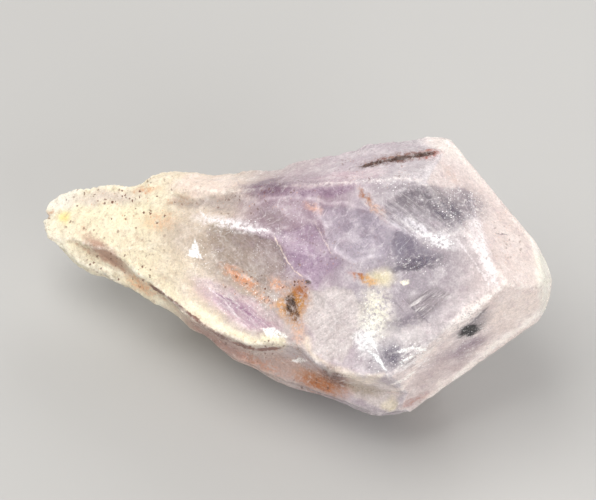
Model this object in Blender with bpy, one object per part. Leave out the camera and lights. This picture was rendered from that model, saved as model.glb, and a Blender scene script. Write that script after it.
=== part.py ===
"""Amethyst crystal: one natural quartz point with a tapered, broken root and a worn six-sided tip.

The crystal is first laid out in the plane of its broad front side: x runs from root to tip, v runs
across and w runs out of that side. Two shapes meet there. The faceted form is the six-sided prism with
its six tip faces, and the flat breaks that lead down to the root. The broken form is a loft of uneven
sections along the chipped outline. What both have in common is the crystal. Hollows, a crack and a
notch are cut from it, and the whole is then turned onto the facet that it rests on, with its long
axis over +X and its origin under the middle.
"""

import math

import bmesh
import bpy
from mathutils import Matrix, Vector, noise
from mathutils.bvhtree import BVHTree

MM = 0.001

# Growth form, as on every quartz crystal
TIP_FACE_ANGLE = math.radians(38.2)  # between a tip face and the long axis
APEX = Vector((31.9, -1.9, 17.8)) * MM  # where the tip faces would meet if the point weren't worn
AXIS_DROP = math.radians(7.5)  # long axis against x, in the plane of the front side
AXIS_RISE = math.radians(16.0)  # long axis out of that plane, towards w
# Flats worn across the tip: lean towards the upper edge in degrees, and length worn away
TIP_WEAR = {0: 3.4 * MM, 28: 2.5 * MM, -14: 3.1 * MM}

# Distance of each prism face from the long axis, keyed by its direction round the axis in degrees:
# 0 is the broad front side, 90 points up the outline and -90 down it
PRISM_FACES = {
    0: 9.6 * MM,
    60: 13.7 * MM,
    120: 14.9 * MM,
    180: 16.8 * MM,
    -120: 17.4 * MM,
    -60: 14.9 * MM,
}
# How far each tip face stands inside the apex
TIP_FACES = {
    0: -3.6 * MM,
    60: -0.1 * MM,
    120: -0.1 * MM,
    180: 0.9 * MM,
    -120: -0.1 * MM,
    -60: -0.1 * MM,
}

# Flat breaks: a point in x and v and its height above the long axis, in mm, then the slope against
# the front side and the way that it falls, in degrees (0 towards the tip, 90 up the outline)
BREAKS = {
    "violet_break": ((4.1, 2.6), 9.6, 7.0, 214.0),
    "beige_break": ((-1.1, 2.4), 8.9, 14.0, 216.0),
    "upper_break": ((-7.0, 5.8), 7.7, 30.0, 129.0),
    "upper_chip": ((12.0, 11.4), 9.4, 36.0, 76.0),
    "root_break": ((-21.0, 4.6), 4.6, 20.0, 196.0),
    "root_end_break": ((-29.6, 7.5), 3.2, 60.0, 205.0),
    "root_top_break": ((-23.0, 9.9), 3.6, 50.0, 108.0),
    "back_break": ((-4.0, 2.0), -15.4, 168.0, 190.0),
    "back_root_break": ((-15.0, 4.4), -9.6, 158.0, 172.0),
    "back_upper_break": ((4.0, 8.0), -13.6, 141.0, 100.0),
    "back_root_end_break": ((-29.6, 6.6), -3.4, 131.0, 180.0),
}

# Broken outline of the front side, root to tip, in mm along x and v
UPPER_EDGE = [
    (-30.0, 7.5), (-29.6, 9.4), (-28.1, 10.6), (-25.9, 11.3), (-23.0, 11.2), (-20.3, 10.8),
    (-18.4, 11.0), (-17.0, 11.9), (-15.7, 12.2), (-13.7, 12.2), (-9.6, 11.8), (-7.6, 12.1),
    (-4.8, 12.4), (-2.0, 12.3), (-0.3, 13.2), (1.4, 13.5), (3.6, 14.1), (6.7, 14.6), (7.7, 15.1),
    (8.5, 15.4), (13.2, 15.7), (15.8, 16.2), (21.0, 16.4), (27.5, 14.0), (35.0, 8.0),
]
LOWER_EDGE = [
    (-30.0, 6.0), (-29.6, 4.5), (-28.2, 3.5), (-26.5, 2.0), (-25.4, 0.8), (-23.6, -0.2),
    (-21.7, -0.5), (-18.7, -2.0), (-15.0, -4.0), (-12.2, -6.0), (-10.6, -6.9), (-9.2, -8.6),
    (-7.2, -10.2), (-5.8, -10.6), (-3.8, -11.6), (-0.9, -12.9), (0.2, -13.2), (4.0, -14.1),
    (5.9, -15.0), (8.9, -16.4), (9.7, -16.4), (12.2, -15.7), (20.0, -17.0), (28.0, -15.0),
    (35.0, -10.0),
]
# The same outline without its chips
UPPER_SWEEP = [
    (-30.0, 7.8), (-27.2, 10.3), (-20.4, 11.3), (-10.1, 12.1), (-2.0, 12.8), (9.0, 15.1),
    (21.0, 16.4), (35.0, 8.0),
]
LOWER_SWEEP = [
    (-30.0, 5.6), (-27.2, 2.5), (-20.4, -1.3), (-10.1, -7.7), (-2.0, -12.3), (9.0, -16.0),
    (20.0, -17.0), (35.0, -10.0),
]
CHIP_DEPTH = 5.5  # mm from the outline's plane to where its chips have died out

# Depths of the broken form in mm, each as (x, depth)
FRONT_DEPTH = [
    (-30.0, 1.0), (-29.0, 3.2), (-25.5, 4.6), (-19.0, 5.2), (-14.0, 6.3), (-8.0, 8.2), (0.0, 9.9),
    (8.0, 10.6), (35.0, 11.0),
]
BACK_DEPTH = [
    (-30.0, 1.0), (-29.0, 3.4), (-25.5, 5.2), (-20.0, 6.6), (-14.0, 9.2), (-8.0, 12.6), (-2.0, 16.2),
    (6.0, 18.2), (35.0, 18.6),
]
# Ridge along the lower side of the front: its distance in from the lower edge
RIDGE_INSET = [
    (-30.0, 0.9), (-27.6, 2.6), (-24.8, 3.6), (-19.2, 2.9), (-15.2, 2.1), (-11.2, 1.2), (-7.7, 1.9),
    (-4.8, 2.4), (-1.4, 4.4), (1.0, 5.0), (2.6, 3.9), (4.7, 3.1), (9.9, 4.6), (35.0, 5.0),
]
# Upper front bevel: its distance in from the upper edge
BEVEL_INSET = [
    (-30.0, 0.5), (-26.6, 1.6), (-16.7, 2.2), (-9.5, 3.4), (-2.0, 3.0), (8.0, 4.2), (35.0, 5.2),
]
MOST_RIDGE_INSET = 0.45  # of the section's width
MOST_BEVEL_INSET = 0.35
# Parts of the front depth that the corners of a section reach
BEVEL_RISE = 0.88
RIDGE_RISE = 0.86
GROOVE_RISE = 0.40
LIP_RISE = 0.22
LOWER_EDGE_DROP = 0.15
GROOVE_SHARE = 0.62  # of the ridge's inset: where the groove under the ridge is deepest
LIP_SHARE = 0.12  # of the ridge's inset: where the lip under the groove stands
# Corners of the back: share of the way from lower to upper edge, and part of the back depth
BACK_LOWER_CORNER = (0.16, 1.0)
BACK_UPPER_CORNER = (0.72, 0.94)
RINGS = 78
POINTS_PER_SIDE = 6

# Broken surface: its lumps and grains are higher on the root, which starts at ROOT_START and is fully
# rough after ROOT_RUN
ROOT_START = -6 * MM
ROOT_RUN = 16 * MM
LUMP_WIDTH = 4.2 * MM
LUMP_HEIGHT = 0.25  # mm
LUMP_HEIGHT_ADDED_AT_ROOT = 0.35  # mm
GRAIN_WIDTH = 1.7 * MM
GRAIN_HEIGHT = 0.10  # mm
GRAIN_HEIGHT_ADDED_AT_ROOT = 0.22  # mm
GRAIN_SHIFT = Vector((7.0, 3.0, 5.0))  # keeps the grains clear of the lumps' pattern

# Hollows: centre in x and v, half-sizes and depth in mm, the turn in the plane of the front side in
# degrees, and the side that they are on
HOLLOWS = {
    "ledge_trough": ((-11.0, 8.3), (7.6, 2.0), 0.45, -4, "front"),
    "beige_hollow": ((-7.0, 1.6), (8.6, 5.6), 0.45, -30, "front"),
    "magenta_trough": ((-7.2, -4.4), (8.6, 2.8), 0.45, -31, "front"),
    "violet_hollow": ((1.6, 8.0), (8.2, 5.4), 0.40, -36, "front"),
    "round_hollow": ((3.8, -5.6), (5.0, 5.4), 0.26, 20, "front"),
    "root_hollow": ((-19.4, 5.4), (8.6, 3.8), 0.36, -24, "front"),
    "back_hollow": ((2.0, 8.0), (12.0, 6.0), 0.8, 12, "back"),
    "back_root_hollow": ((-14.0, 5.0), (10.5, 4.8), 0.6, -10, "back"),
}
BALL_RAISED = 0.6  # of its height: how far a hollow's ball stands out of the surface
BALL_AROUND = 24
BALL_RINGS = 16
RIPPLE_WIDTH = 2.6 * MM
RIPPLE_HEIGHT = 0.26 * MM
CRACK = ((7.6, 12.6), (15.9, 14.1))  # mm, along the upper right of the front side
CRACK_WIDTH = 0.45 * MM
CRACK_DEPTH = 0.9 * MM
PIT = (-0.7, -3.4)  # mm
PIT_RADIUS = 0.6 * MM
PIT_HALF_LENGTH = 1.7 * PIT_RADIUS
PIT_DEPTH = 1.0 * MM
PIT_TURN = 0.3  # radians
NOTCH = (-30.4, 7.1)  # mm, in the root end
NOTCH_RADIUS = 0.8 * MM
NOTCH_LENGTHENED = 1.9
NOTCH_NARROWED = 0.8
NOTCH_TURN = -0.2  # radians
NOTCH_DEPTH = 14 * MM

# Pose on its resting facet
LEAN = math.radians(40.0)  # the front side leans this far back from facing straight up
TURN = math.radians(16.3)  # then the long axis is turned over +X
REST_HEIGHT = 16.9 * MM  # resting facet below the long axis, at REST_X
REST_X = 8.0 * MM
EDGE_WEAR = 0.35 * MM

BLOCK = 200 * MM  # the block that the faceted form is cut from
FAR = 100 * MM  # clear of the crystal's surface
SAME_FACE_ANGLE = math.radians(0.4)
SHARP_ANGLE = math.radians(24)

# Finish
PALE_VIOLET = (0.72, 0.64, 0.76, 1.0)
ROUGHNESS = 0.28
QUARTZ_IOR = 1.544
CLEARNESS = 0.45


def clear_scene():
    for obj in list(bpy.data.objects):
        bpy.data.objects.remove(obj, do_unlink=True)


def collection(name):
    made = bpy.data.collections.new(name)
    bpy.context.scene.collection.children.link(made)
    return made


def value_at(table, x):
    """The table's value at x, on straight lines between its rows."""
    for (x0, a), (x1, b) in zip(table, table[1:]):
        if x <= x1:
            return a + (b - a) * max(0.0, (x - x0) / (x1 - x0))
    return table[-1][1]


def point_along(outline, share):
    """The point at a share of the outline's length."""
    points = [Vector(p) for p in outline]
    lengths = [(b - a).length for a, b in zip(points, points[1:])]
    left = share * sum(lengths)
    for start, end, length in zip(points, points[1:], lengths):
        if left <= length:
            return start.lerp(end, left / length)
        left -= length
    return points[-1]


def crystal_axes():
    """Unit vectors along the long axis, up the outline and out of the front face."""
    along = Vector((
        math.cos(AXIS_RISE) * math.cos(AXIS_DROP),
        -math.cos(AXIS_RISE) * math.sin(AXIS_DROP),
        math.sin(AXIS_RISE),
    ))
    across = Vector((math.sin(AXIS_DROP), math.cos(AXIS_DROP), 0.0))
    return along, across, along.cross(across)


def axis_depth(x):
    """The long axis's w at x, in metres."""
    along = crystal_axes()[0]
    return APEX.z + (x - APEX.x) * along.z / along.x


def on_front(x, v, height):
    """The point seen at x and v on the front side, at a height above the long axis."""
    out = crystal_axes()[2]
    return Vector((x, v, axis_depth(x) + height / out.z))


def cut_plane(bm, point, normal):
    """Cuts away what lies beyond the plane and closes the cut with a flat face."""
    geometry = bm.verts[:] + bm.edges[:] + bm.faces[:]
    cut = bmesh.ops.bisect_plane(
        bm, geom=geometry, plane_co=point, plane_no=normal, clear_outer=True
    )
    edges = [item for item in cut["geom_cut"] if isinstance(item, bmesh.types.BMEdge)]
    if edges:
        bmesh.ops.contextual_create(bm, geom=edges)


def new_object(name, bm, into):
    mesh = bpy.data.meshes.new(name)
    bm.to_mesh(mesh)
    bm.free()
    obj = bpy.data.objects.new(name, mesh)
    into.objects.link(obj)
    return obj


def direction(degrees, across, out):
    """Unit vector round the long axis: 0 out of the front side, 90 up the outline."""
    angle = math.radians(degrees)
    return across * math.sin(angle) + out * math.cos(angle)


def faceted_form(into):
    """A block cut down by the prism faces, the tip faces and the flat breaks, with worn edges."""
    along, across, out = crystal_axes()
    bm = bmesh.new()
    bmesh.ops.create_cube(bm, size=BLOCK)
    for degrees, distance in PRISM_FACES.items():
        normal = direction(degrees, across, out)
        cut_plane(bm, APEX + normal * distance, normal)
    for degrees, inside in TIP_FACES.items():
        sideways = direction(degrees, across, out)
        normal = along * math.sin(TIP_FACE_ANGLE) + sideways * math.cos(TIP_FACE_ANGLE)
        cut_plane(bm, APEX - normal * inside, normal)
    for degrees, length in TIP_WEAR.items():
        lean = math.radians(degrees)
        normal = along * math.cos(lean) + across * math.sin(lean)
        cut_plane(bm, APEX - normal * length, normal)
    for (x, v), height, slope, falls_to in BREAKS.values():
        fall = math.radians(falls_to)
        downhill = along * math.cos(fall) + across * math.sin(fall)
        normal = out * math.cos(math.radians(slope)) + downhill * math.sin(math.radians(slope))
        cut_plane(bm, on_front(x * MM, v * MM, height * MM), normal)
    bmesh.ops.bevel(
        bm, geom=bm.edges[:], offset=EDGE_WEAR, segments=2, profile=0.5, affect="EDGES"
    )
    worn = [vert.co.copy() for vert in bm.verts]
    bm.clear()
    # The form is convex, so a hull of its worn corners gives clean faces where small bevels meet
    hull = bmesh.ops.convex_hull(bm, input=[bm.verts.new(place) for place in worn])
    inner = [item for item in hull["geom_interior"] if isinstance(item, bmesh.types.BMVert)]
    bmesh.ops.delete(bm, geom=inner, context="VERTS")
    bmesh.ops.dissolve_limit(
        bm, angle_limit=SAME_FACE_ANGLE, verts=bm.verts[:], edges=bm.edges[:]
    )
    bmesh.ops.recalc_face_normals(bm, faces=bm.faces)
    return new_object("faceted_form", bm, into)


def section_corners(top, bottom, x):
    """Corners of one section, each as its share of the way from lower to upper edge and its depth."""
    width = (top - bottom).length
    front = value_at(FRONT_DEPTH, x)
    back = value_at(BACK_DEPTH, x)
    ridge = min(value_at(RIDGE_INSET, x) / width, MOST_RIDGE_INSET)
    bevel = min(value_at(BEVEL_INSET, x) / width, MOST_BEVEL_INSET)
    return [
        (1.0, 0.0),
        (1.0 - bevel, front * BEVEL_RISE),
        (0.5, front),
        (ridge, front * RIDGE_RISE),
        (ridge * GROOVE_SHARE, front * GROOVE_RISE),
        (ridge * LIP_SHARE, front * LIP_RISE),
        (0.0, -front * LOWER_EDGE_DROP),
        (BACK_LOWER_CORNER[0], -back * BACK_LOWER_CORNER[1]),
        (BACK_UPPER_CORNER[0], -back * BACK_UPPER_CORNER[1]),
    ]


def ring_points(share):
    """One closed section at a share of the outline, as points round it in metres."""
    chipped = (point_along(LOWER_EDGE, share), point_along(UPPER_EDGE, share))
    smooth = (point_along(LOWER_SWEEP, share), point_along(UPPER_SWEEP, share))
    corners = section_corners(smooth[1], smooth[0], (smooth[0].x + smooth[1].x) / 2)
    ring = []
    for (part0, depth0), (part1, depth1) in zip(corners, corners[1:] + corners[:1]):
        for step in range(POINTS_PER_SIDE):
            between = step / POINTS_PER_SIDE
            part = part0 + (part1 - part0) * between
            depth = depth0 + (depth1 - depth0) * between
            chips = max(0.0, 1.0 - abs(depth) / CHIP_DEPTH)
            flat = smooth[0].lerp(smooth[1], part)
            flat = flat.lerp(chipped[0].lerp(chipped[1], part), chips)
            flat *= MM
            ring.append(Vector((flat.x, flat.y, axis_depth(flat.x) + depth * MM)))
    return ring


def roughened(point, centre):
    """The point moved by the lumps of a broken surface, which are largest at the root."""
    root = min(1.0, max(0.0, (ROOT_START - point.x) / ROOT_RUN))
    outward = (point - centre).normalized()
    lumps = LUMP_HEIGHT + LUMP_HEIGHT_ADDED_AT_ROOT * root
    grains = GRAIN_HEIGHT + GRAIN_HEIGHT_ADDED_AT_ROOT * root
    coarse = noise.noise(point / LUMP_WIDTH) * lumps
    fine = noise.noise(point / GRAIN_WIDTH + GRAIN_SHIFT) * grains
    return point + outward * (coarse + fine) * MM


def broken_form(into):
    """The chipped outline with its depth: a loft of uneven sections from root to tip."""
    bm = bmesh.new()
    rings = []
    for index in range(RINGS + 1):
        share = index / RINGS
        ring = ring_points(share)
        centre = sum(ring, Vector()) / len(ring)
        rings.append([bm.verts.new(roughened(point, centre)) for point in ring])
    for ring, following in zip(rings, rings[1:]):
        for index in range(len(ring)):
            after = (index + 1) % len(ring)
            bm.faces.new((ring[index], ring[after], following[after], following[index]))
    bm.faces.new(rings[0])
    bm.faces.new(rings[-1])
    bmesh.ops.recalc_face_normals(bm, faces=bm.faces)
    return new_object("broken_form", bm, into)


def surface_point(surface, x, v, side):
    """The point of the front or back surface seen at x and v, and its normal."""
    out = Vector((0.0, 0.0, 1.0 if side == "front" else -1.0))
    place, normal, _, _ = surface.ray_cast(Vector((x, v, 0.0)) + out * FAR, -out)
    return place, normal


def hollow(name, surface, centre, half, depth, turn, side, into):
    """A flattened, rippled ball that leaves a hollow with the given footprint and depth."""
    place, normal = surface_point(surface, centre[0] * MM, centre[1] * MM, side)
    # Where the surface cuts the raised ball, it is this much narrower than at its middle
    narrowed = math.sqrt(1 - BALL_RAISED**2)
    radii = Vector((half[0] / narrowed, half[1] / narrowed, depth / (1 - BALL_RAISED))) * MM
    bm = bmesh.new()
    bmesh.ops.create_uvsphere(bm, u_segments=BALL_AROUND, v_segments=BALL_RINGS, radius=1.0)
    tilt = Vector((0.0, 0.0, 1.0)).rotation_difference(normal).to_matrix().to_4x4()
    spin = Matrix.Rotation(math.radians(turn), 4, "Z")
    size = Matrix.Diagonal((*radii, 1.0))
    shift = Matrix.Translation(place + normal * radii.z * BALL_RAISED)
    bmesh.ops.transform(bm, matrix=shift @ tilt @ spin @ size, verts=bm.verts)
    for vert in bm.verts:
        vert.co += normal * noise.noise(vert.co / RIPPLE_WIDTH) * RIPPLE_HEIGHT
    return new_object(name, bm, into)


def crack(surface, into):
    """The narrow open crack: a long, thin egg let into the surface."""
    start, end = (surface_point(surface, x * MM, v * MM, "front")[0] for x, v in CRACK)
    run = end - start
    bm = bmesh.new()
    bmesh.ops.create_uvsphere(bm, u_segments=10, v_segments=10, radius=1.0)
    size = Matrix.Diagonal((CRACK_DEPTH, CRACK_WIDTH, run.length / 2, 1.0))
    turn = run.to_track_quat("Z", "Y").to_matrix().to_4x4()
    place = Matrix.Translation((start + end) / 2)
    bmesh.ops.transform(bm, matrix=place @ turn @ size, verts=bm.verts)
    return new_object("crack", bm, into)


def pit(surface, into):
    """The dark pit: a narrow, slightly turned egg."""
    place, _ = surface_point(surface, PIT[0] * MM, PIT[1] * MM, "front")
    bm = bmesh.new()
    bmesh.ops.create_uvsphere(bm, u_segments=10, v_segments=8, radius=1.0)
    size = Matrix.Diagonal((PIT_RADIUS, PIT_HALF_LENGTH, PIT_DEPTH, 1.0))
    turn = Matrix.Rotation(PIT_TURN, 4, "Z")
    bmesh.ops.transform(bm, matrix=Matrix.Translation(place) @ turn @ size, verts=bm.verts)
    return new_object("pit", bm, into)


def notch(into):
    """The cleft in the root end: a wedge that runs through the end's thickness."""
    bm = bmesh.new()
    bmesh.ops.create_cone(
        bm, cap_ends=True, segments=4, radius1=NOTCH_RADIUS, radius2=NOTCH_RADIUS, depth=NOTCH_DEPTH
    )
    size = Matrix.Diagonal((NOTCH_LENGTHENED, NOTCH_NARROWED, 1.0, 1.0))
    turn = Matrix.Rotation(NOTCH_TURN, 4, "Z")
    x = NOTCH[0] * MM
    place = Matrix.Translation((x, NOTCH[1] * MM, axis_depth(x)))
    bmesh.ops.transform(bm, matrix=place @ turn @ size, verts=bm.verts)
    return new_object("notch", bm, into)


def boolean(obj, other, operation):
    modifier = obj.modifiers.new(other.name, "BOOLEAN")
    modifier.operation = operation
    modifier.solver = "EXACT"
    modifier.object = other


def baked(obj):
    """The object's evaluated mesh as a bmesh."""
    graph = bpy.context.evaluated_depsgraph_get()
    bm = bmesh.new()
    bm.from_object(obj, graph)
    return bm


def lay_down(bm):
    """Turns the crystal onto its resting facet, cuts that facet and puts the origin under the middle."""
    pose = Matrix.Rotation(TURN, 4, "Z") @ Matrix.Rotation(LEAN, 4, "X")
    bmesh.ops.transform(bm, matrix=pose, verts=bm.verts)
    along = crystal_axes()[0]
    on_axis = APEX + along * ((REST_X - APEX.x) / along.x)
    floor = (pose @ on_axis).z - REST_HEIGHT
    cut_plane(bm, Vector((0.0, 0.0, floor)), Vector((0.0, 0.0, -1.0)))
    xs = [vert.co.x for vert in bm.verts]
    ys = [vert.co.y for vert in bm.verts]
    middle = Vector(((min(xs) + max(xs)) / 2, (min(ys) + max(ys)) / 2, floor))
    bmesh.ops.translate(bm, vec=-middle, verts=bm.verts)


def amethyst_material():
    material = bpy.data.materials.new("amethyst")
    material.use_nodes = True
    shader = material.node_tree.nodes["Principled BSDF"]
    shader.inputs["Base Color"].default_value = PALE_VIOLET
    shader.inputs["Roughness"].default_value = ROUGHNESS
    shader.inputs["Metallic"].default_value = 0.0
    shader.inputs["IOR"].default_value = QUARTZ_IOR
    shader.inputs["Transmission Weight"].default_value = CLEARNESS
    return material


def build():
    clear_scene()
    parts = collection("amethyst_crystal")
    cutters = collection("cutters")
    rough = broken_form(cutters)
    boolean(rough, faceted_form(cutters), "INTERSECT")
    surface = BVHTree.FromObject(rough, bpy.context.evaluated_depsgraph_get())
    for name, (centre, half, depth, turn, side) in HOLLOWS.items():
        cutter = hollow(name, surface, centre, half, depth, turn, side, cutters)
        boolean(rough, cutter, "DIFFERENCE")
    for cutter in (crack(surface, cutters), pit(surface, cutters), notch(cutters)):
        boolean(rough, cutter, "DIFFERENCE")
    bm = baked(rough)
    lay_down(bm)
    bmesh.ops.triangulate(bm, faces=bm.faces)
    crystal = new_object("amethyst_crystal", bm, parts)
    crystal.data.materials.append(amethyst_material())
    crystal.data.shade_smooth()
    crystal.data.set_sharp_from_angle(angle=SHARP_ANGLE)
    for cutter in cutters.objects:
        cutter.hide_render = True
        cutter.display_type = "WIRE"


build()
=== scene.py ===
"""Looks of the amethyst crystal: its broken and glassy skin, its milky and clear quartz, and its veils.

The skin is a fine copy of the solid crystal, with the small scoops, nicks and grains of broken quartz
worked into it. Its material is mixed from milky and clear quartz by named patches, stains, flashes and
lines, some of which are painted shade, painted shadows and painted highlights. Each of them has its place
in pixels of the photograph, which a ray carries onto the crystal, and its size in pixels too. White veils,
a dark inclusion and small bright flakes lie inside.
"""

import math

import bmesh
import bpy
import numpy as np
from mathutils import Matrix, Vector, noise
from mathutils.bvhtree import BVHTree


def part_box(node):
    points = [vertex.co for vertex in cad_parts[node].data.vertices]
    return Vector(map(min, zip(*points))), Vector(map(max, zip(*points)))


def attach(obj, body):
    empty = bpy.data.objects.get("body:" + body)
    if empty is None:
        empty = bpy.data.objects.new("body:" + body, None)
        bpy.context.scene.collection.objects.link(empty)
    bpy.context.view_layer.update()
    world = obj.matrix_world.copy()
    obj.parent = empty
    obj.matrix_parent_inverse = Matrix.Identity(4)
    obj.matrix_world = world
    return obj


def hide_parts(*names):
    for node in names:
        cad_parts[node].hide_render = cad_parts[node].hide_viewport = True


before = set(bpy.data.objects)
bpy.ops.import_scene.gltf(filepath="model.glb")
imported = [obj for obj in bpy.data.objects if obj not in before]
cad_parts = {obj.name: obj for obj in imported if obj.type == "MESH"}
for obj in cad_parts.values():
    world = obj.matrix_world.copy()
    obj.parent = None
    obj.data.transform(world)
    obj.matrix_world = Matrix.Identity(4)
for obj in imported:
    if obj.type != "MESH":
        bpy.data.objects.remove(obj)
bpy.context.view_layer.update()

MM = 0.001
BODY = "root"
NODE = "amethyst_crystal"

# View of the photograph
PICTURE = (596, 500)  # pixels
PIXEL = 0.115 * MM  # one pixel, in the plane through AIM
VIEW_TURN = math.radians(16.3)
VIEW_RISE = math.radians(50.0)
CAMERA_DISTANCE = 480 * MM
AIM = Vector((1.348, -1.880, 18.879)) * MM
SENSOR_WIDTH = 36.0  # mm

RIGHT = Vector((math.cos(VIEW_TURN), math.sin(VIEW_TURN), 0.0))
UP = Vector((
    -math.sin(VIEW_TURN) * math.sin(VIEW_RISE),
    math.cos(VIEW_TURN) * math.sin(VIEW_RISE),
    math.cos(VIEW_RISE),
))
OUT = RIGHT.cross(UP)
TO_FRONT = Matrix((RIGHT, UP, OUT))
CAMERA_PLACE = AIM + OUT * CAMERA_DISTANCE

QUARTZ_IOR = 1.544

# The crystal's long axis, which drops in the picture and rises towards the camera
AXIS_DROP = math.radians(7.5)
AXIS_RISE = math.radians(16.0)
AXIS = np.array(TO_FRONT.transposed() @ Vector((
    math.cos(AXIS_RISE) * math.cos(AXIS_DROP),
    -math.cos(AXIS_RISE) * math.sin(AXIS_DROP),
    math.sin(AXIS_RISE),
)))

# Skin
VOXEL = 0.27 * MM
INSIDE = 0.01 * MM  # the skin keeps this far inside the solid's box
MERGE = 0.001 * MM  # corners nearer than this are one
SEED = 41
SCOOPS = 900  # mostly on broken faces
SCOOP_RADII = (1.6, 6.0)  # mm
SCOOP_DEPTHS = (0.015, 0.085)  # mm
NICKS = 420  # small scoops along the edges
NICK_RADII = (0.4, 1.6)  # mm
NICK_DEPTHS = (0.03, 0.14)  # mm
DEEPEST = 1.6  # most that a scoop moves a point, in its own depths
SCAR_SLOPE = 3.0 * MM  # how far a scar goes on deepening from its rim
SCAR_RIM = 0.25 * MM  # width of the steep part of it
# How strongly the surface bends where a mark begins and where it is full
BROKEN_BEND = (0.0006, 0.006)  # share of a normal's length that smoothing takes away
EDGE_BEND = (0.22, 0.80)  # outwards, per mm
CREASE_BEND = (0.06, 0.40)  # inwards, per mm
# How squarely a point faces the viewer, or the tip's way, in the same order
SEEN_FACING = (-0.05, 0.15)
SCAR_FACING = (0.1, 0.5)
TIP_FACING = (0.50, 0.60)
LUMP = 0.9 * MM
GRAIN = 0.42 * MM
ROOT_FROM = 6 * MM  # the rough root starts this far left of the middle
ROOT_FULL = 17 * MM  # and from here on it is fully rough

# Quartz
CLOUD = 2.2 * MM
DUSK = 1.3 * MM
FLEECE = 0.7 * MM
GRIT = 0.45 * MM
FINE_GRIT = 0.20 * MM
GROWTH_LINE = 0.32 * MM
SPECK_SPACING = 0.42 * MM
FLECK_SPACING = 0.34 * MM
GLINT_SPACING = 0.24 * MM
CLOUD_WHITE = (252, 246, 243)
DUSK_VIOLET = (176, 152, 166)
ROOT_BROWN = (186, 164, 138)
CREASE_BROWN = (176, 128, 98)
LINE_LIGHT = (254, 249, 248)
LINE_DARK = (120, 108, 122)
FROST_WHITE = (255, 249, 240)
WISP_WHITE = (253, 249, 248)
SPECK_BROWN = (112, 66, 44)
FLECK_ORANGE = (214, 150, 104)
WHITE = (255, 255, 255)
TIP_PINK = (232, 214, 208)
TIP_MILK = 0.84
VIOLET_GLASS = (226, 206, 226)
ABSORPTION = 8.0

# Inside
CLEAR_OF_SKIN = 0.9 * MM  # flakes with their middle nearer to the solid's surface are taken out
VEIL_THICKNESS = 0.03 * MM
FLAKES = {
    "Density": 1.0e6,
    "Seed": 7,
    "Least depth": 1.0 * MM,
    "Most depth": 4.5 * MM,
    "Flake size": 0.26 * MM,
    "Flake thickness": 0.02 * MM,
    "Start": -2.0 * MM,  # flakes lie to the right of this x
}
FLAKE_CORNERS = 6


def srgb(red, green, blue):
    """A linear colour with alpha from sRGB values of 0 to 255."""
    def linear(value):
        value /= 255
        return value / 12.92 if value <= 0.04045 else ((value + 0.055) / 1.055) ** 2.4
    return linear(red), linear(green), linear(blue), 1.0


# Places on the crystal
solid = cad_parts[NODE]
solid_tree = BVHTree.FromObject(solid, bpy.context.evaluated_depsgraph_get())


def view_ray(pixel):
    """Direction from the camera through a pixel of the photograph."""
    across = (pixel[0] - PICTURE[0] / 2) * PIXEL
    upward = (PICTURE[1] / 2 - pixel[1]) * PIXEL
    return (AIM + RIGHT * across + UP * upward - CAMERA_PLACE).normalized()


def spot(pixel):
    """The point of the crystal's surface seen at a pixel, or beside the crystal the one nearest to it."""
    ray = view_ray(pixel)
    place = solid_tree.ray_cast(CAMERA_PLACE, ray)[0]
    if place is None:
        beside = CAMERA_PLACE + ray * CAMERA_DISTANCE
        place = solid_tree.find_nearest(beside)[0]
    return place


def in_picture(pixel):
    """A pixel's point of the surface, laid flat in the plane of the front side."""
    place = TO_FRONT @ spot(pixel)
    return Vector((place.x, place.y, 0.0))


def inside(pixel, depth):
    """The point inside the crystal that shows at a pixel, at a depth along the bent ray."""
    ray = view_ray(pixel)
    place, normal, _, _ = solid_tree.ray_cast(CAMERA_PLACE, ray)
    if normal.dot(ray) > 0:
        normal = -normal
    share = 1 / QUARTZ_IOR
    facing = -normal.dot(ray)
    bent = ray * share + normal * (share * facing - math.sqrt(1 - share**2 * (1 - facing**2)))
    return place + bent.normalized() * depth


# Shader maths
class Flow:
    """A shader socket whose maths reads as plain expressions."""

    def __init__(self, shade, socket):
        self.shade = shade
        self.socket = socket

    def maths(self, operation, *values):
        numbered = dict(enumerate(values))
        return self.shade.node("ShaderNodeMath", {"operation": operation}, numbered)

    def __add__(self, other):
        return self.maths("ADD", self, other)

    def __sub__(self, other):
        return self.maths("SUBTRACT", self, other)

    def __rsub__(self, other):
        return self.maths("SUBTRACT", other, self)

    def __mul__(self, other):
        return self.maths("MULTIPLY", self, other)

    def __truediv__(self, other):
        return self.maths("DIVIDE", self, other)

    def __pow__(self, other):
        return self.maths("POWER", self, other)

    def low(self, other):
        return self.maths("MINIMUM", self, other)

    def high(self, other):
        return self.maths("MAXIMUM", self, other)

    __radd__ = __add__
    __rmul__ = __mul__


class Tree:
    """A node tree, filled one node at a time."""

    def __init__(self, tree):
        self.tree = tree
        tree.nodes.clear()

    def node(self, kind, settings=None, values=None, output=0):
        """One node: its settings first, then the value or link of each named socket."""
        made = self.tree.nodes.new(kind)
        for key, value in (settings or {}).items():
            setattr(made, key, value)
        for key, value in (values or {}).items():
            if isinstance(value, Flow):
                self.tree.links.new(value.socket, made.inputs[key])
            else:
                made.inputs[key].default_value = value
        return Flow(self, made.outputs[output] if len(made.outputs) else None)

    def vector(self, operation, *values, output="Vector"):
        numbered = dict(enumerate(values))
        return self.node("ShaderNodeVectorMath", {"operation": operation}, numbered, output)


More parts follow.
